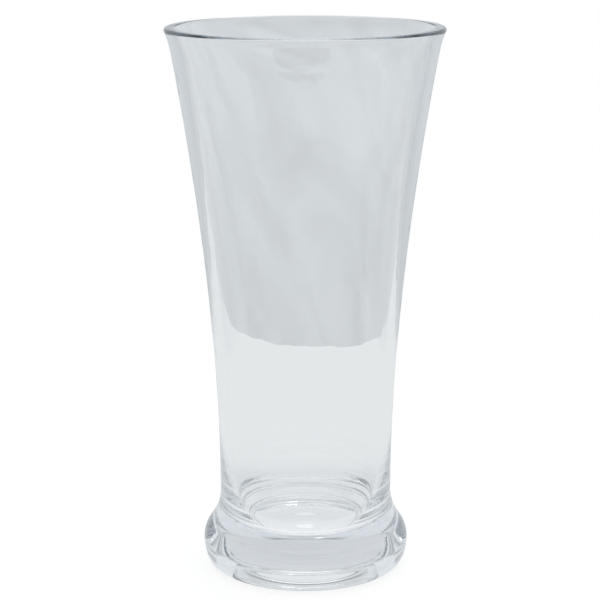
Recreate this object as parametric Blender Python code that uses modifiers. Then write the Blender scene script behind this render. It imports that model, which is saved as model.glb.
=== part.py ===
"""Footed beer tumbler, moulded in one shot from clear polycarbonate.

A tall flared beaker with a rounded lip stands on a thick, turned-out foot. Wall, floor and
foot are one body. The foot is relieved from below, so the tumbler rests on a flat ring, and
the gate was cut off inside a shallow dish in the middle of the relief, clear of the table.
Metres, +Z up, with the origin at the centre of the base.
"""

import math

import bpy

# Overall
HEIGHT = 0.1700

# Lip: a half-round edge on a rim that turns out a little
RIM_RADIUS = 0.04265
LIP_THICKNESS = 0.0032
LIP_LEAN = math.radians(24)
FLARE_DEPTH = 0.0090

# Wall: a sweep that rises out of an upright neck, thicker towards the floor
NECK_RADIUS = 0.02705
NECK_HEIGHT = 0.0242
WALL_SWEEP = 1.215
WALL_THICKNESS = 0.0034
LOW_WALL_THICKNESS = 0.0060
THICKENING_HEIGHT = 0.0405

# Floor inside, with a rounded corner
FLOOR_HEIGHT = 0.0138
FLOOR_CORNER = 0.0044

# Foot: a hollow neck that swings out into a full, round-edged base
FOOT_RADIUS = 0.03245
FOOT_HEIGHT = 0.0081
FOOT_EDGE = 0.0037
HOLLOW_SHARE = 0.665

# Relief under the foot, with the shallow dish round the gate
RELIEF_RADIUS = 0.0240
RELIEF_DEPTH = 0.0052
RELIEF_DRAFT = math.radians(14)
RELIEF_FILLET = 0.0015
GATE_RADIUS = 0.0070
GATE_DEPTH = 0.00025

# Fineness: segments round the axis, in a quarter turn of a round, and along the wall
FACETS = 64
SMALL_ROUND = 5
BROAD_ROUND = 9
FLARE_STEPS = 4
WALL_STEPS = 12
LOW_STEPS = 6
GATE_STEPS = 5

# Worked out from the above: where the wall meets the lip, and how far the rim turns out there
LIP_ROUND = LIP_THICKNESS / 2
LIP_CENTRE = (RIM_RADIUS - LIP_ROUND, HEIGHT - LIP_ROUND)
WALL_TOP_RADIUS = LIP_CENTRE[0] + LIP_ROUND * math.cos(LIP_LEAN)
WALL_TOP = LIP_CENTRE[1] - LIP_ROUND * math.sin(LIP_LEAN)
WALL_RISE = WALL_TOP - NECK_HEIGHT
TOP_LEAN = (3 - WALL_SWEEP) / WALL_RISE
FLARE = math.tan(LIP_LEAN) - (WALL_TOP_RADIUS - NECK_RADIUS) * TOP_LEAN
FLARE *= FLARE_DEPTH / 3 / (1 - TOP_LEAN * FLARE_DEPTH / 3)
SWEEP_WIDTH = WALL_TOP_RADIUS - FLARE - NECK_RADIUS
FLARE_START = WALL_TOP - FLARE_DEPTH


def spaced(start, end, count):
    """Evenly spaced values after the start, the end included."""
    return [start + (end - start) * i / count for i in range(1, count + 1)]


def arc(centre, radius, start, end, quarter):
    """Points of an arc after its start; quarter is the segments in a quarter turn."""
    count = math.ceil(quarter * abs(end - start) / (math.pi / 2) - 0.01)
    angles = spaced(start, end, count)
    return [(centre[0] + radius * math.cos(a), centre[1] + radius * math.sin(a)) for a in angles]


def outer_radius(z):
    """Radius of the outer wall from the neck to the lip."""
    s = (z - NECK_HEIGHT) / WALL_RISE
    flare = max(0.0, (z - FLARE_START) / FLARE_DEPTH)
    sweep = WALL_SWEEP * s ** 2 + (1 - WALL_SWEEP) * s ** 3
    return NECK_RADIUS + SWEEP_WIDTH * sweep + FLARE * flare ** 3


def outer_lean(z):
    """Angle of the outer wall from upright."""
    s = (z - NECK_HEIGHT) / WALL_RISE
    flare = max(0.0, (z - FLARE_START) / FLARE_DEPTH)
    sweep = 2 * WALL_SWEEP * s + 3 * (1 - WALL_SWEEP) * s ** 2
    return math.atan(SWEEP_WIDTH * sweep / WALL_RISE + 3 * FLARE * flare ** 2 / FLARE_DEPTH)


def wall_thickness(z):
    """Thickness of the wall: nearly even above, growing towards the floor."""
    if z >= THICKENING_HEIGHT:
        rise = (z - THICKENING_HEIGHT) / (WALL_TOP - THICKENING_HEIGHT)
        return WALL_THICKNESS + (LIP_THICKNESS - WALL_THICKNESS) * rise
    drop = (THICKENING_HEIGHT - z) / (THICKENING_HEIGHT - FLOOR_HEIGHT)
    return WALL_THICKNESS + (LOW_WALL_THICKNESS - WALL_THICKNESS) * drop ** 2


def inner_point(z):
    """Point of the inner wall, square across from the outer wall at a height."""
    thickness = wall_thickness(z)
    if z <= NECK_HEIGHT:
        return (NECK_RADIUS - thickness, z)
    lean = outer_lean(z)
    return (outer_radius(z) - thickness * math.cos(lean), z + thickness * math.sin(lean))


def inside():
    """Flat floor from the axis, its rounded corner, and the inner wall up to the lip."""
    corner_top = FLOOR_HEIGHT + FLOOR_CORNER
    gain = (LOW_WALL_THICKNESS - WALL_THICKNESS) / (THICKENING_HEIGHT - FLOOR_HEIGHT) ** 2
    lean = math.atan(2 * gain * (THICKENING_HEIGHT - corner_top))
    wall_start = corner_top - FLOOR_CORNER * math.sin(lean)
    floor_edge = inner_point(wall_start)[0] - FLOOR_CORNER * math.cos(lean)
    points = [(0.0, FLOOR_HEIGHT), (floor_edge, FLOOR_HEIGHT)]
    points += arc((floor_edge, corner_top), FLOOR_CORNER, -math.pi / 2, -lean, SMALL_ROUND)
    heights = spaced(wall_start, THICKENING_HEIGHT, LOW_STEPS)
    heights += spaced(THICKENING_HEIGHT, FLARE_START, WALL_STEPS)
    heights += spaced(FLARE_START, WALL_TOP, FLARE_STEPS)
    return points + [inner_point(z) for z in heights]


def lip():
    """Half-round lip, from the inner wall over the top and out to the outer wall."""
    turns = (math.pi - LIP_LEAN, math.pi / 2, 0.0, -LIP_LEAN)
    points = []
    for start, end in zip(turns, turns[1:]):
        points += arc(LIP_CENTRE, LIP_ROUND, start, end, SMALL_ROUND)
    return points


def outside():
    """Outer wall from under the lip down to the neck."""
    heights = spaced(WALL_TOP, FLARE_START, FLARE_STEPS)
    heights += spaced(FLARE_START, NECK_HEIGHT, WALL_STEPS)
    return [(outer_radius(z), z) for z in heights]


def foot():
    """Hollow of the neck, shoulder, and rounded edge down to the bearing ring."""
    out = FOOT_RADIUS - NECK_RADIUS
    down = NECK_HEIGHT - FOOT_HEIGHT
    swing = 2 * math.atan2(out, down)
    both_radii = down / math.sin(swing)
    hollow = both_radii * HOLLOW_SHARE
    shoulder = both_radii - hollow
    neck_centre = (NECK_RADIUS + hollow, NECK_HEIGHT)
    shoulder_centre = (FOOT_RADIUS - shoulder, FOOT_HEIGHT)
    points = arc(neck_centre, hollow, math.pi, math.pi + swing, BROAD_ROUND)
    points += arc(shoulder_centre, shoulder, swing, 0.0, BROAD_ROUND)
    for a in spaced(0.0, math.pi / 2, BROAD_ROUND):
        edge = FOOT_RADIUS - FOOT_EDGE * (1 - math.cos(a))
        points.append((edge, FOOT_HEIGHT * (1 - math.sin(a))))
    return points


def underside():
    """Bearing ring, drafted relief with filleted corners, and the gate dish, to the axis."""
    steep = math.pi / 2 - RELIEF_DRAFT
    fillet_width = RELIEF_FILLET * math.sin(steep)
    fillet_rise = RELIEF_FILLET * (1 - math.cos(steep))
    side_width = (RELIEF_DEPTH - 2 * fillet_rise) / math.tan(steep)
    ceiling_radius = RELIEF_RADIUS - 2 * fillet_width - side_width
    low_centre = (RELIEF_RADIUS, RELIEF_FILLET)
    high_centre = (ceiling_radius, RELIEF_DEPTH - RELIEF_FILLET)
    points = [(RELIEF_RADIUS, 0.0)]
    points += arc(low_centre, RELIEF_FILLET, -math.pi / 2, -math.pi / 2 - steep, SMALL_ROUND)
    points.append((ceiling_radius + fillet_width, RELIEF_DEPTH - fillet_rise))
    points += arc(high_centre, RELIEF_FILLET, math.pi / 2 - steep, math.pi / 2, SMALL_ROUND)
    points.append((GATE_RADIUS, RELIEF_DEPTH))
    for share in spaced(0.0, 1.0, GATE_STEPS):
        rise = GATE_DEPTH * (1 - math.cos(math.pi * share)) / 2
        points.append((GATE_RADIUS * (1 - share), RELIEF_DEPTH + rise))
    return points


def clear_plastic():
    """Clear polycarbonate with a faint cool cast."""
    material = bpy.data.materials.new("clear_polycarbonate")
    material.use_nodes = True
    shader = material.node_tree.nodes["Principled BSDF"]
    shader.inputs["Base Color"].default_value = (0.94, 0.965, 0.98, 1.0)
    shader.inputs["Metallic"].default_value = 0.0
    shader.inputs["Roughness"].default_value = 0.03
    shader.inputs["IOR"].default_value = 1.585
    shader.inputs["Transmission Weight"].default_value = 1.0
    return material


def tumbler(collection):
    """The one moulding, turned about its axis from a single profile."""
    profile = inside() + lip() + outside() + foot() + underside()
    mesh = bpy.data.meshes.new("tumbler")
    edges = [(i, i + 1) for i in range(len(profile) - 1)]
    mesh.from_pydata([(r, 0.0, z) for r, z in profile], edges, [])
    mesh.materials.append(clear_plastic())
    body = bpy.data.objects.new("tumbler", mesh)
    collection.objects.link(body)
    turned = body.modifiers.new("turned", "SCREW")
    turned.axis = "Z"
    turned.angle = 2 * math.pi
    turned.steps = FACETS
    turned.render_steps = FACETS
    turned.use_merge_vertices = True
    turned.merge_threshold = 0.000001
    turned.use_smooth_shade = True
    return body


for old in list(bpy.data.objects):
    bpy.data.objects.remove(old)
shelf = bpy.data.collections.new("Tumbler")
bpy.context.scene.collection.children.link(shelf)
tumbler(shelf)
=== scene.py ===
import math

import bmesh
import bpy
from mathutils import Matrix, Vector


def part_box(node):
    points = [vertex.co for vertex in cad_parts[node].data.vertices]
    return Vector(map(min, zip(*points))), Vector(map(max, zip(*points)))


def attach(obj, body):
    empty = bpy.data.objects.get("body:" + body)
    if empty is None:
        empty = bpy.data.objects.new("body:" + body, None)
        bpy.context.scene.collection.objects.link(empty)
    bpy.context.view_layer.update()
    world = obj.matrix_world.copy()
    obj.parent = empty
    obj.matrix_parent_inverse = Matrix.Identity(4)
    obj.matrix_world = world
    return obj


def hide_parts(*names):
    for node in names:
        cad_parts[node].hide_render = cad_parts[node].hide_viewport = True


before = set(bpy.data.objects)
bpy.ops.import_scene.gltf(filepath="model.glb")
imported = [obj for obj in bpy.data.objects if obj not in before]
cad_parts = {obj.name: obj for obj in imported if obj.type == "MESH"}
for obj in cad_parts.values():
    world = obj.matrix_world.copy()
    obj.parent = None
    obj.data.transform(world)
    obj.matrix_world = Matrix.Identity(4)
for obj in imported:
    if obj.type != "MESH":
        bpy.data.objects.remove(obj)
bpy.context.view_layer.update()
scene = bpy.context.scene


# Tumbler: one clear polycarbonate moulding, from the soft-edged lip down to the turned-out foot.
# It is shot through a gate in the middle of the foot's relief, into a polished mould. Wall, floor
# and foot are one body, so it is turned here from one profile, from the floor round to the gate.
MM = 0.001
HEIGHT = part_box("tumbler")[1].z
RIM_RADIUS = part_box("tumbler")[1].x
LIP_THICKNESS = 3.2 * MM
LIP_LEAN = math.radians(24)
LIP_EDGE = 0.8 * MM
FLARE_DEPTH = 9.0 * MM
NECK_RADIUS = 27.05 * MM
NECK_HEIGHT = 24.2 * MM
WALL_SWEEP = 1.215
WALL_THICKNESS = 3.4 * MM
LOW_WALL_THICKNESS = 6.0 * MM
THICKENING_HEIGHT = 40.5 * MM
FLOOR_HEIGHT = 13.8 * MM
FLOOR_CORNER = 4.4 * MM
FOOT_RADIUS = 32.45 * MM
FOOT_HEIGHT = 8.1 * MM
FOOT_EDGE = 3.7 * MM
HOLLOW_SHARE = 0.665
RELIEF_RADIUS = 24.0 * MM
RELIEF_DEPTH = 5.2 * MM
RELIEF_DRAFT = math.radians(14)
RELIEF_FILLET = 1.5 * MM
GATE_RADIUS = 7.0 * MM
GATE_DEPTH = 0.25 * MM
TURN_STEPS = 200
ROUND_STEPS = 30
WALL_STEPS = 48
FLARE_STEPS = 12
GATE_STEPS = 16
FLAT_HOLD = 0.1 * MM
MERGE_DISTANCE = 0.0005 * MM

# Where the outer wall meets the lip, and how far the rim turns out there.
LIP_CENTRE = (RIM_RADIUS - LIP_EDGE, HEIGHT - LIP_EDGE)
WALL_TOP_RADIUS = LIP_CENTRE[0] + LIP_EDGE * math.cos(LIP_LEAN)
WALL_TOP = LIP_CENTRE[1] - LIP_EDGE * math.sin(LIP_LEAN)
WALL_RISE = WALL_TOP - NECK_HEIGHT
TOP_LEAN = (3 - WALL_SWEEP) / WALL_RISE
FLARE = math.tan(LIP_LEAN) - (WALL_TOP_RADIUS - NECK_RADIUS) * TOP_LEAN
FLARE *= FLARE_DEPTH / 3 / (1 - TOP_LEAN * FLARE_DEPTH / 3)
SWEEP_WIDTH = WALL_TOP_RADIUS - FLARE - NECK_RADIUS
FLARE_START = WALL_TOP - FLARE_DEPTH


def spaced(start, end, count):
    """Evenly spaced values after the start, the end included."""
    return [start + (end - start) * i / count for i in range(1, count + 1)]


def arc(centre, radius, start, end):
    """Points of an arc after its start, with ROUND_STEPS to a quarter turn."""
    count = math.ceil(ROUND_STEPS * abs(end - start) / (math.pi / 2) - 0.01)
    angles = spaced(start, end, count)
    return [(centre[0] + radius * math.cos(a), centre[1] + radius * math.sin(a)) for a in angles]


def flat(start, end):
    """Points of a straight run after its start, held close to both ends so that it shades flat."""
    along = FLAT_HOLD / math.dist(start, end)
    return [tuple(a + (b - a) * k for a, b in zip(start, end)) for k in (along, 1 - along, 1.0)]


def outer_radius(z):
    """Radius of the outer wall from the neck to the lip."""
    s = (z - NECK_HEIGHT) / WALL_RISE
    flare = max(0.0, (z - FLARE_START) / FLARE_DEPTH)
    sweep = WALL_SWEEP * s ** 2 + (1 - WALL_SWEEP) * s ** 3
    return NECK_RADIUS + SWEEP_WIDTH * sweep + FLARE * flare ** 3


def outer_lean(z):
    """Angle of the outer wall from upright."""
    s = (z - NECK_HEIGHT) / WALL_RISE
    flare = max(0.0, (z - FLARE_START) / FLARE_DEPTH)
    sweep = 2 * WALL_SWEEP * s + 3 * (1 - WALL_SWEEP) * s ** 2
    return math.atan(SWEEP_WIDTH * sweep / WALL_RISE + 3 * FLARE * flare ** 2 / FLARE_DEPTH)


def wall_thickness(z):
    """Thickness of the wall: nearly even above, growing towards the floor."""
    if z >= THICKENING_HEIGHT:
        rise = (z - THICKENING_HEIGHT) / (WALL_TOP - THICKENING_HEIGHT)
        return WALL_THICKNESS + (LIP_THICKNESS - WALL_THICKNESS) * rise
    drop = (THICKENING_HEIGHT - z) / (THICKENING_HEIGHT - FLOOR_HEIGHT)
    return WALL_THICKNESS + (LOW_WALL_THICKNESS - WALL_THICKNESS) * drop ** 2


def inner_point(z):
    """Point of the inner wall, square across from the outer wall at a height."""
    thickness = wall_thickness(z)
    if z <= NECK_HEIGHT:
        return (NECK_RADIUS - thickness, z)
    lean = outer_lean(z)
    return (outer_radius(z) - thickness * math.cos(lean), z + thickness * math.sin(lean))


def inner_wall_top():
    """Height on the outer wall, square across from where the inner wall turns into the lip."""
    z = WALL_TOP
    for _ in range(40):
        lean = math.sin(outer_lean(z))
        z = HEIGHT - LIP_EDGE * (1 - lean) - wall_thickness(z) * lean
    return z


def inside():
    """Flat floor from the axis, its rounded corner, and the inner wall up to the lip."""
    corner_top = FLOOR_HEIGHT + FLOOR_CORNER
    gain = (LOW_WALL_THICKNESS - WALL_THICKNESS) / (THICKENING_HEIGHT - FLOOR_HEIGHT) ** 2
    lean = math.atan(2 * gain * (THICKENING_HEIGHT - corner_top))
    wall_start = corner_top - FLOOR_CORNER * math.sin(lean)
    floor_edge = inner_point(wall_start)[0] - FLOOR_CORNER * math.cos(lean)
    points = [(0.0, FLOOR_HEIGHT)] + flat((0.0, FLOOR_HEIGHT), (floor_edge, FLOOR_HEIGHT))
    points += arc((floor_edge, corner_top), FLOOR_CORNER, -math.pi / 2, -lean)
    heights = spaced(wall_start, FLARE_START, WALL_STEPS)
    heights += spaced(FLARE_START, inner_wall_top(), FLARE_STEPS)
    return points + [inner_point(z) for z in heights]


def lip():
    """Lip: the inner edge, a narrow flat and the outer edge, which runs on into the outer wall."""
    lean = outer_lean(inner_wall_top())
    start = inner_point(inner_wall_top())
    inner_edge = (start[0] + LIP_EDGE * math.cos(lean), HEIGHT - LIP_EDGE)
    points = arc(inner_edge, LIP_EDGE, math.pi - lean, math.pi / 2)
    points += flat(points[-1], (LIP_CENTRE[0], HEIGHT))
    return points + arc(LIP_CENTRE, LIP_EDGE, math.pi / 2, -LIP_LEAN)


def outside():
    """Outer wall from under the lip down to the neck."""
    heights = spaced(WALL_TOP, FLARE_START, FLARE_STEPS)
    heights += spaced(FLARE_START, NECK_HEIGHT, WALL_STEPS)
    return [(outer_radius(z), z) for z in heights]


def foot():
    """Hollow of the neck, shoulder, and rounded edge down to the bearing ring."""
    swing = 2 * math.atan2(FOOT_RADIUS - NECK_RADIUS, NECK_HEIGHT - FOOT_HEIGHT)
    both_radii = (NECK_HEIGHT - FOOT_HEIGHT) / math.sin(swing)
    hollow = both_radii * HOLLOW_SHARE
    shoulder = both_radii - hollow
    points = arc((NECK_RADIUS + hollow, NECK_HEIGHT), hollow, math.pi, math.pi + swing)
    points += arc((FOOT_RADIUS - shoulder, FOOT_HEIGHT), shoulder, swing, 0.0)
    for a in spaced(0.0, math.pi / 2, ROUND_STEPS):
        points.append((FOOT_RADIUS - FOOT_EDGE * (1 - math.cos(a)), FOOT_HEIGHT * (1 - math.sin(a))))
    return points


def underside():
    """Bearing ring, drafted relief with filleted corners, and the gate dish, to the axis."""
    steep = math.pi / 2 - RELIEF_DRAFT
    fillet_width = RELIEF_FILLET * math.sin(steep)
    fillet_rise = RELIEF_FILLET * (1 - math.cos(steep))
    side_width = (RELIEF_DEPTH - 2 * fillet_rise) / math.tan(steep)
    ceiling_radius = RELIEF_RADIUS - 2 * fillet_width - side_width
    low_centre = (RELIEF_RADIUS, RELIEF_FILLET)
    high_centre = (ceiling_radius, RELIEF_DEPTH - RELIEF_FILLET)
    points = flat((FOOT_RADIUS - FOOT_EDGE, 0.0), (RELIEF_RADIUS, 0.0))
    points += arc(low_centre, RELIEF_FILLET, -math.pi / 2, -math.pi / 2 - steep)
    points += flat(points[-1], (ceiling_radius + fillet_width, RELIEF_DEPTH - fillet_rise))
    points += arc(high_centre, RELIEF_FILLET, math.pi / 2 - steep, math.pi / 2)
    points += flat(points[-1], (GATE_RADIUS, RELIEF_DEPTH))
    for share in spaced(0.0, 1.0, GATE_STEPS):
        rise = GATE_DEPTH * (1 - math.cos(math.pi * share)) / 2
        points.append((GATE_RADIUS * (1 - share), RELIEF_DEPTH + rise))
    return points


turned = bmesh.new()
floor_to_gate = inside() + lip() + outside() + foot() + underside()
profile = [turned.verts.new((r, 0.0, z)) for r, z in floor_to_gate]
profile_edges = [turned.edges.new(pair) for pair in zip(profile, profile[1:])]
bmesh.ops.spin(turned, geom=profile + profile_edges, cent=(0, 0, 0), axis=(0, 0, 1),
               angle=2 * math.pi, steps=TURN_STEPS, use_merge=True, use_duplicate=False)
bmesh.ops.remove_doubles(turned, verts=turned.verts, dist=MERGE_DISTANCE)
bmesh.ops.recalc_face_normals(turned, faces=turned.faces)
tumbler_mesh = bpy.data.meshes.new("clear_tumbler")
turned.to_mesh(tumbler_mesh)
turned.free()
tumbler_mesh.shade_smooth()
tumbler = bpy.data.objects.new("clear_tumbler", tumbler_mesh)
scene.collection.objects.link(tumbler)

POLYCARBONATE_IOR = 1.585
CAST_COLOUR = (0.82, 0.853, 0.877, 1.0)
CAST_DENSITY = 10.0
FLOW_SCALE = (160.0, 160.0, 12.0)
FLOW_HEIGHT = 0.006 * MM
PEEL_SCALE = 140.0
PEEL_SHARE = 2.0
RIPPLE_START = 40 * MM
RIPPLE_FULL = 65 * MM
RIPPLE_FADE = 160 * MM
RIPPLE_END = 167 * MM
SMUDGE_SCALE = 35.0
SMUDGE_START = 0.55
SMUDGE_FULL = 0.80
SMUDGE_ROUGHNESS = 0.03
SCUFF_HEIGHT = 0.3 * MM
SCUFF_ROUGHNESS = 0.2

# The plastic itself: clear, with a faint cool cast that grows with its thickness.
clear = bpy.data.materials.new("clear_polycarbonate")
clear.use_nodes = True
clear_nodes = clear.node_tree.nodes
clear_links = clear.node_tree.links
clear_shader = clear_nodes["Principled BSDF"]
clear_shader.inputs["Base Color"].default_value = (1.0, 1.0, 1.0, 1.0)
clear_shader.inputs["IOR"].default_value = POLYCARBONATE_IOR
clear_shader.inputs["Transmission Weight"].default_value = 1.0
cast = clear_nodes.new("ShaderNodeVolumeAbsorption")
cast.inputs["Color"].default_value = CAST_COLOUR
cast.inputs["Density"].default_value = CAST_DENSITY
clear_links.new(cast.outputs["Volume"], clear_nodes["Material Output"].inputs["Volume"])

# Faint upright flow lines and a shallow peel on the wall, fading out towards the foot and the lip.
clear_place = clear_nodes.new("ShaderNodeTexCoord")
flow_lie = clear_nodes.new("ShaderNodeMapping")
flow_lie.inputs["Scale"].default_value = FLOW_SCALE
clear_links.new(clear_place.outputs["Object"], flow_lie.inputs["Vector"])
flow = clear_nodes.new("ShaderNodeTexNoise")
flow.inputs["Scale"].default_value = 1.0
flow.inputs["Detail"].default_value = 2.0
flow.normalize = False
clear_links.new(flow_lie.outputs[0], flow.inputs["Vector"])
peel = clear_nodes.new("ShaderNodeTexNoise")
peel.inputs["Scale"].default_value = PEEL_SCALE
peel.inputs["Detail"].default_value = 1.0
peel.normalize = False
clear_links.new(clear_place.outputs["Object"], peel.inputs["Vector"])
flow_and_peel = clear_nodes.new("ShaderNodeMath")
flow_and_peel.operation = "MULTIPLY_ADD"
flow_and_peel.inputs[1].default_value = PEEL_SHARE
clear_links.new(peel.outputs["Fac"], flow_and_peel.inputs[0])
clear_links.new(flow.outputs["Fac"], flow_and_peel.inputs[2])
clear_split = clear_nodes.new("ShaderNodeSeparateXYZ")
clear_links.new(clear_place.outputs["Object"], clear_split.inputs[0])
above_foot = clear_nodes.new("ShaderNodeMapRange")
above_foot.inputs["From Min"].default_value = RIPPLE_START
above_foot.inputs["From Max"].default_value = RIPPLE_FULL
clear_links.new(clear_split.outputs["Z"], above_foot.inputs["Value"])
below_lip = clear_nodes.new("ShaderNodeMapRange")
below_lip.inputs["From Min"].default_value = RIPPLE_FADE
below_lip.inputs["From Max"].default_value = RIPPLE_END
below_lip.inputs["To Min"].default_value = 1.0
below_lip.inputs["To Max"].default_value = 0.0
clear_links.new(clear_split.outputs["Z"], below_lip.inputs["Value"])
on_wall = clear_nodes.new("ShaderNodeMath")
on_wall.operation = "MULTIPLY"
clear_links.new(above_foot.outputs[0], on_wall.inputs[0])
clear_links.new(below_lip.outputs[0], on_wall.inputs[1])
wall_ripple = clear_nodes.new("ShaderNodeMath")
wall_ripple.operation = "MULTIPLY"
clear_links.new(flow_and_peel.outputs[0], wall_ripple.inputs[0])
clear_links.new(on_wall.outputs[0], wall_ripple.inputs[1])
ripple = clear_nodes.new("ShaderNodeBump")
ripple.inputs["Distance"].default_value = FLOW_HEIGHT
clear_links.new(wall_ripple.outputs[0], ripple.inputs["Height"])
clear_links.new(ripple.outputs["Normal"], clear_shader.inputs["Normal"])

# A polished skin with a few dull smudges, and a bearing ring that is scuffed from standing.
smudge = clear_nodes.new("ShaderNodeTexNoise")
smudge.inputs["Scale"].default_value = SMUDGE_SCALE
smudge.inputs["Detail"].default_value = 4.0
clear_links.new(clear_place.outputs["Object"], smudge.inputs["Vector"])
smudge_rough = clear_nodes.new("ShaderNodeMapRange")
smudge_rough.inputs["From Min"].default_value = SMUDGE_START
smudge_rough.inputs["From Max"].default_value = SMUDGE_FULL
smudge_rough.inputs["To Max"].default_value = SMUDGE_ROUGHNESS
clear_links.new(smudge.outputs["Fac"], smudge_rough.inputs["Value"])
scuff = clear_nodes.new("ShaderNodeMapRange")
scuff.inputs["From Max"].default_value = SCUFF_HEIGHT
scuff.inputs["To Min"].default_value = SCUFF_ROUGHNESS
scuff.inputs["To Max"].default_value = 0.0
clear_links.new(clear_split.outputs["Z"], scuff.inputs["Value"])
worn = clear_nodes.new("ShaderNodeMath")
worn.operation = "MAXIMUM"
clear_links.new(smudge_rough.outputs[0], worn.inputs[0])
clear_links.new(scuff.outputs[0], worn.inputs[1])
clear_links.new(worn.outputs[0], clear_shader.inputs["Roughness"])
tumbler_mesh.materials.append(clear)
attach(tumbler, "root")
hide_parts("tumbler")


# Table: a white top with a straight back edge that runs a little askew behind the tumbler.
# The camera sees it white, with the tumbler's soft shadow. The plastic shows a pale tone of its own,
# with painted light in front of the foot and a painted shadow behind it, fading out further away.
TABLE_TONE = (0.785, 0.808, 0.82, 1.0)
TABLE_LIT = (0.96, 0.985, 1.0, 1.0)
TABLE_SHADE = (0.705, 0.725, 0.745, 1.0)
TABLE_SHADE_REACH = 40 * MM
TABLE_FADE = 90 * MM
TABLE_ALBEDO = (0.30, 0.30, 0.30, 1.0)
TABLE_WHITE = (0.835, 0.835, 0.835, 1.0)
TABLE_REACH = 1.2
TABLE_EDGE = 0.271
TABLE_SKEW = 0.12 * TABLE_REACH
TABLE_GAP = 0.2 * MM


def stage_piece(name, shape):
    """Puts a flat stage piece in the scene, and returns the empty node tree of its material."""
    mesh = bpy.data.meshes.new(name)
    shape.to_mesh(mesh)
    shape.free()
    material = bpy.data.materials.new(name)
    material.use_nodes = True
    material.node_tree.nodes.clear()
    mesh.materials.append(material)
    piece = bpy.data.objects.new(name, mesh)
    scene.collection.objects.link(piece)
    return material.node_tree


top = bmesh.new()
top_corners = [(-TABLE_REACH, -TABLE_REACH), (TABLE_REACH, -TABLE_REACH),
               (TABLE_REACH, TABLE_EDGE - TABLE_SKEW), (-TABLE_REACH, TABLE_EDGE + TABLE_SKEW)]
top.faces.new([top.verts.new((x, y, -TABLE_GAP)) for x, y in top_corners])
table = stage_piece("table", top)
top_place = table.nodes.new("ShaderNodeTexCoord")
top_split = table.nodes.new("ShaderNodeSeparateXYZ")
table.links.new(top_place.outputs["Object"], top_split.inputs[0])
# Painted light in front of the foot and painted shadow behind it, faded into the plain tone further
# out.
top_back = table.nodes.new("ShaderNodeMapRange")
top_back.inputs["From Min"].default_value = -TABLE_SHADE_REACH
top_back.inputs["From Max"].default_value = TABLE_SHADE_REACH
table.links.new(top_split.outputs["Y"], top_back.inputs["Value"])
top_painted_light_and_shade = table.nodes.new("ShaderNodeMix")
top_painted_light_and_shade.data_type = "RGBA"
top_painted_light_and_shade.inputs[6].default_value = TABLE_LIT
top_painted_light_and_shade.inputs[7].default_value = TABLE_SHADE
table.links.new(top_back.outputs[0], top_painted_light_and_shade.inputs["Factor"])
top_radius = table.nodes.new("ShaderNodeVectorMath")
top_radius.operation = "LENGTH"
table.links.new(top_place.outputs["Object"], top_radius.inputs[0])
top_far = table.nodes.new("ShaderNodeMapRange")
top_far.inputs["From Min"].default_value = TABLE_FADE / 2
top_far.inputs["From Max"].default_value = TABLE_FADE
table.links.new(top_radius.outputs["Value"], top_far.inputs["Value"])
top_tone = table.nodes.new("ShaderNodeMix")
top_tone.data_type = "RGBA"
top_tone.inputs[7].default_value = TABLE_TONE
table.links.new(top_painted_light_and_shade.outputs[2], top_tone.inputs[6])
table.links.new(top_far.outputs[0], top_tone.inputs["Factor"])
top_glow = table.nodes.new("ShaderNodeEmission")
table.links.new(top_tone.outputs[2], top_glow.inputs["Color"])
top_matt = table.nodes.new("ShaderNodeBsdfDiffuse")
top_matt.inputs["Color"].default_value = TABLE_ALBEDO
top_white = table.nodes.new("ShaderNodeEmission")
top_white.inputs["Color"].default_value = TABLE_WHITE
top_shown = table.nodes.new("ShaderNodeAddShader")
table.links.new(top_matt.outputs[0], top_shown.inputs[0])
table.links.new(top_white.outputs[0], top_shown.inputs[1])
top_rays = table.nodes.new("ShaderNodeLightPath")
top_seen = table.nodes.new("ShaderNodeMixShader")
table.links.new(top_rays.outputs["Is Camera Ray"], top_seen.inputs[0])
table.links.new(top_glow.outputs[0], top_seen.inputs[1])
table.links.new(top_shown.outputs[0], top_seen.inputs[2])
top_out = table.nodes.new("ShaderNodeOutputMaterial")
table.links.new(top_seen.outputs[0], top_out.inputs["Surface"])


# Cloth: a grey backdrop beyond the table, darker low down, with the light and shade of soft slanting
# folds and of a hollow painted into its tone.
# The camera sees it white. The plastic shows its greys, which the wall carries as a soft grey field
# down to the table's edge and the foot as dark and light lines.
CLOTH_DISTANCE = 1.0
CLOTH_HALF_WIDTH = 3.0
CLOTH_BOTTOM = -2.0
CLOTH_TOP = 1.2
CLOTH_TINT = (0.95, 1.0, 1.04)
CLOTH_TONES = ((-0.30, 0.61), (-0.15, 0.625), (0.0, 0.675), (0.10, 0.68), (0.22, 0.80), (0.72, 0.80))
FOLD_TURN = math.radians(36)
FOLD_SIZE = (0.15, 1.0, 0.065)
FOLD_TWIST = 0.8
FOLD_VALLEY = 0.3
FOLD_CREST = 0.7
FOLD_DARK = 0.91
FOLD_LIGHT = 1.07
HOLLOW_MIDDLE = 0.47
HOLLOW_SIZE = (0.45, 1.0, 0.15)
HOLLOW_DEEPEST = 0.6
HOLLOW_PAINTED_SHADE = 0.48


def shown_white(tree):
    """Ends a stage piece that the camera sees white, and returns the socket for its own tone."""
    rays = tree.nodes.new("ShaderNodeLightPath")
    shown = tree.nodes.new("ShaderNodeMix")
    shown.data_type = "RGBA"
    shown.inputs[7].default_value = (1.0, 1.0, 1.0, 1.0)
    tree.links.new(rays.outputs["Is Camera Ray"], shown.inputs["Factor"])
    glow = tree.nodes.new("ShaderNodeEmission")
    tree.links.new(shown.outputs[2], glow.inputs["Color"])
    out = tree.nodes.new("ShaderNodeOutputMaterial")
    tree.links.new(glow.outputs[0], out.inputs["Surface"])
    return shown.inputs[6]


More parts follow.
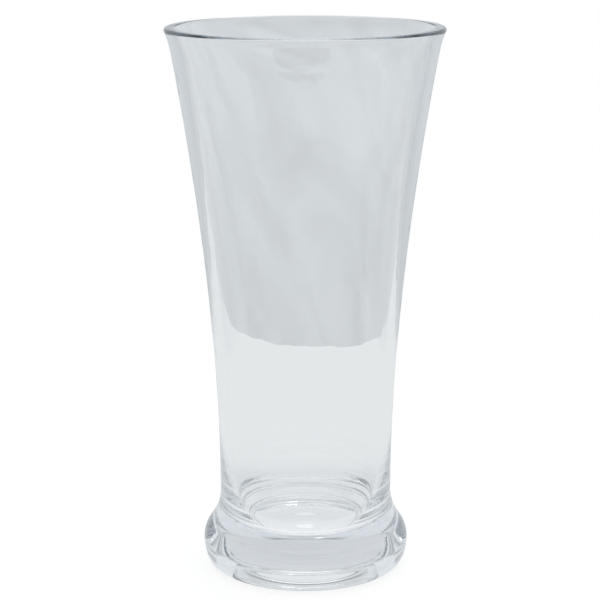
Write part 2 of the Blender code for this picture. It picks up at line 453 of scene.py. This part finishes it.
hanging = bmesh.new()
cloth_corners = [(-CLOTH_HALF_WIDTH, CLOTH_BOTTOM), (CLOTH_HALF_WIDTH, CLOTH_BOTTOM),
                 (CLOTH_HALF_WIDTH, CLOTH_TOP), (-CLOTH_HALF_WIDTH, CLOTH_TOP)]
hanging.faces.new([hanging.verts.new((x, CLOTH_DISTANCE, z)) for x, z in cloth_corners])
cloth = stage_piece("cloth", hanging)
cloth_place = cloth.nodes.new("ShaderNodeTexCoord")
cloth_split = cloth.nodes.new("ShaderNodeSeparateXYZ")
cloth.links.new(cloth_place.outputs["Object"], cloth_split.inputs[0])
cloth_rise = cloth.nodes.new("ShaderNodeMapRange")
cloth_rise.inputs["From Min"].default_value = CLOTH_TONES[0][0]
cloth_rise.inputs["From Max"].default_value = CLOTH_TONES[-1][0]
cloth.links.new(cloth_split.outputs["Z"], cloth_rise.inputs["Value"])
cloth_tone = cloth.nodes.new("ShaderNodeValToRGB")
stops = cloth_tone.color_ramp.elements
stops.remove(stops[1])
stops[0].color = (*[CLOTH_TONES[0][1] * tint for tint in CLOTH_TINT], 1.0)
for level, tone in CLOTH_TONES[1:]:
    stop = stops.new((level - CLOTH_TONES[0][0]) / (CLOTH_TONES[-1][0] - CLOTH_TONES[0][0]))
    stop.color = (*[tone * tint for tint in CLOTH_TINT], 1.0)
cloth.links.new(cloth_rise.outputs[0], cloth_tone.inputs[0])
# Painted light and shade of slanting folds: a turned, stretched noise that lightens and darkens the
# tone.
fold_lie = cloth.nodes.new("ShaderNodeMapping")
fold_lie.vector_type = "TEXTURE"
fold_lie.inputs["Rotation"].default_value = (0.0, FOLD_TURN, 0.0)
fold_lie.inputs["Scale"].default_value = FOLD_SIZE
cloth.links.new(cloth_place.outputs["Object"], fold_lie.inputs["Vector"])
folds = cloth.nodes.new("ShaderNodeTexNoise")
folds.inputs["Scale"].default_value = 1.0
folds.inputs["Detail"].default_value = 3.0
folds.inputs["Distortion"].default_value = FOLD_TWIST
cloth.links.new(fold_lie.outputs[0], folds.inputs["Vector"])
fold_shade = cloth.nodes.new("ShaderNodeMapRange")
fold_shade.inputs["From Min"].default_value = FOLD_VALLEY
fold_shade.inputs["From Max"].default_value = FOLD_CREST
fold_shade.inputs["To Min"].default_value = FOLD_DARK
fold_shade.inputs["To Max"].default_value = FOLD_LIGHT
cloth.links.new(folds.outputs["Fac"], fold_shade.inputs["Value"])
# Painted shade of a hollow in the cloth: a soft oval that darkens the tone towards its middle.
hollow_lie = cloth.nodes.new("ShaderNodeMapping")
hollow_lie.vector_type = "TEXTURE"
hollow_lie.inputs["Location"].default_value = (0.0, CLOTH_DISTANCE, HOLLOW_MIDDLE)
hollow_lie.inputs["Scale"].default_value = HOLLOW_SIZE
cloth.links.new(cloth_place.outputs["Object"], hollow_lie.inputs["Vector"])
hollow_shade_mask = cloth.nodes.new("ShaderNodeTexGradient")
hollow_shade_mask.gradient_type = "SPHERICAL"
cloth.links.new(hollow_lie.outputs[0], hollow_shade_mask.inputs["Vector"])
hollow_shade = cloth.nodes.new("ShaderNodeMapRange")
hollow_shade.interpolation_type = "SMOOTHSTEP"
hollow_shade.inputs["From Max"].default_value = HOLLOW_DEEPEST
hollow_shade.inputs["To Min"].default_value = 1.0
hollow_shade.inputs["To Max"].default_value = HOLLOW_PAINTED_SHADE
cloth.links.new(hollow_shade_mask.outputs["Fac"], hollow_shade.inputs["Value"])
both_shades = cloth.nodes.new("ShaderNodeMath")
both_shades.operation = "MULTIPLY"
cloth.links.new(fold_shade.outputs[0], both_shades.inputs[0])
cloth.links.new(hollow_shade.outputs[0], both_shades.inputs[1])
shaded_tone = cloth.nodes.new("ShaderNodeVectorMath")
shaded_tone.operation = "SCALE"
cloth.links.new(cloth_tone.outputs[0], shaded_tone.inputs[0])
cloth.links.new(both_shades.outputs[0], shaded_tone.inputs["Scale"])
cloth.links.new(shaded_tone.outputs[0], shown_white(cloth))


# Lens flag: a dark board with a round lower edge, held above and behind the camera.
# It mirrors in the back wall as the dark patch under the lip. Other views see it white.
FLAG_WIDTH = 1.0
FLAG_MIDDLE = 0.07
FLAG_DISTANCE = 0.90
FLAG_LOW = 0.37
FLAG_HIGH = 0.45
FLAG_SIDES = 48
FLAG_TONE = (0.08, 0.08, 0.08, 1.0)
board = bmesh.new()
bmesh.ops.create_circle(board, cap_ends=True, segments=FLAG_SIDES, radius=1.0)
bmesh.ops.bisect_plane(board, geom=board.verts[:] + board.edges[:] + board.faces[:], dist=0.001,
                       plane_co=(0, 0, 0), plane_no=(0, 1, 0), clear_outer=True)
bmesh.ops.rotate(board, verts=board.verts, cent=(0, 0, 0), matrix=Matrix.Rotation(math.pi / 2, 3, "X"))
bmesh.ops.scale(board, verts=board.verts, vec=(FLAG_WIDTH / 2, 1.0, FLAG_HIGH - FLAG_LOW))
bmesh.ops.translate(board, verts=board.verts, vec=(FLAG_MIDDLE, -FLAG_DISTANCE, FLAG_HIGH))
flag = stage_piece("lens_flag", board)
shown_white(flag).default_value = FLAG_TONE


# Room light: an even pale band round the table that falls off to a dim room above, and is a little
# cool throughout. The room is dimmer on the left, and gives the rim and the foot their dark lines.
# The camera sees it white.
BAND_LEVEL = 0.74
BAND_RISE = 0.20
DIM_RISE = 0.55
RIGHT_LEVEL = 0.40
LEFT_LEVEL = 0.16
SIDE_REACH = 0.6
ROOM_TINT = (0.955, 1.0, 1.045)
world = bpy.data.worlds.new("studio")
scene.world = world
world.use_nodes = True
room_nodes = world.node_tree.nodes
room_links = world.node_tree.links
room_way = room_nodes.new("ShaderNodeTexCoord")
room_split = room_nodes.new("ShaderNodeSeparateXYZ")
room_links.new(room_way.outputs["Generated"], room_split.inputs[0])
room_side = room_nodes.new("ShaderNodeMapRange")
room_side.interpolation_type = "SMOOTHSTEP"
room_side.inputs["From Max"].default_value = SIDE_REACH
room_side.inputs["To Min"].default_value = LEFT_LEVEL
room_side.inputs["To Max"].default_value = RIGHT_LEVEL
room_links.new(room_split.outputs["X"], room_side.inputs["Value"])
room_level = room_nodes.new("ShaderNodeMapRange")
room_level.inputs["From Min"].default_value = BAND_RISE
room_level.inputs["From Max"].default_value = DIM_RISE
room_level.inputs["To Min"].default_value = BAND_LEVEL
room_links.new(room_split.outputs["Z"], room_level.inputs["Value"])
room_links.new(room_side.outputs[0], room_level.inputs["To Max"])
room_tone = room_nodes.new("ShaderNodeVectorMath")
room_tone.operation = "SCALE"
room_tone.inputs[0].default_value = ROOM_TINT
room_links.new(room_level.outputs[0], room_tone.inputs["Scale"])
room_rays = room_nodes.new("ShaderNodeLightPath")
room_seen = room_nodes.new("ShaderNodeMix")
room_seen.data_type = "RGBA"
room_seen.inputs[7].default_value = (1.0, 1.0, 1.0, 1.0)
room_links.new(room_rays.outputs["Is Camera Ray"], room_seen.inputs["Factor"])
room_links.new(room_tone.outputs[0], room_seen.inputs[6])
room_links.new(room_seen.outputs[2], room_nodes["Background"].inputs["Color"])


# Lamps: a broad box overhead that sets the soft shadow and lights the floor and the foot, and two
# small ones behind, a strip and a window, whose glints show in the foot, the floor and the lip.
# Each has its place, its size and its brightness, and faces the middle of the table.
LAMPS = {
    "overhead box": ((0.0, 0.0, 1.3), (1.4, 1.4), 1.2),
    "strip behind": ((0.0, 0.90, 0.63), (0.08, 0.05), 1.7),
    "window": ((-0.055, 0.97, 0.225), (0.045, 0.018), 5.0),
}
for lamp_name, (place, size, brightness) in LAMPS.items():
    lamp = bpy.data.lights.new(lamp_name, "AREA")
    lamp.shape = "RECTANGLE"
    lamp.size = size[0]
    lamp.size_y = size[1]
    lamp.energy = brightness * math.pi * size[0] * size[1]
    stand = bpy.data.objects.new(lamp_name, lamp)
    stand.location = place
    stand.rotation_euler = stand.location.to_track_quat("Z", "Y").to_euler()
    scene.collection.objects.link(stand)


# Camera: a little above the rim and looking down, as the photograph was taken.
# Its distance and focal length come from the fit of the outline, in pixels of a 600 pixel frame.
CAMERA_DISTANCE = 0.5667
CAMERA_HEIGHT = 0.21808
CAMERA_PITCH = math.radians(13.2)
CAMERA_ROLL = math.radians(0.1)
SENSOR_WIDTH = 36.0
FOCAL_PIXELS = 1864.7
FRAME_PIXELS = 600
AXIS_PIXEL = 304.7
camera = bpy.data.cameras.new("camera")
camera.sensor_width = SENSOR_WIDTH
camera.lens = SENSOR_WIDTH * FOCAL_PIXELS / FRAME_PIXELS
viewpoint = bpy.data.objects.new("camera", camera)
viewpoint.location = (0.0, -CAMERA_DISTANCE, CAMERA_HEIGHT)
turn = math.atan((AXIS_PIXEL - FRAME_PIXELS / 2) / FOCAL_PIXELS)
viewpoint.rotation_euler = (math.pi / 2 - CAMERA_PITCH, CAMERA_ROLL, turn)
scene.collection.objects.link(viewpoint)
scene.camera = viewpoint

# Light takes many turns inside the thick foot and lip, so it is followed for long.
LIGHT_TURNS = 128
scene.view_settings.view_transform = "Standard"
scene.cycles.max_bounces = LIGHT_TURNS
scene.cycles.transmission_bounces = LIGHT_TURNS
scene.cycles.glossy_bounces = LIGHT_TURNS
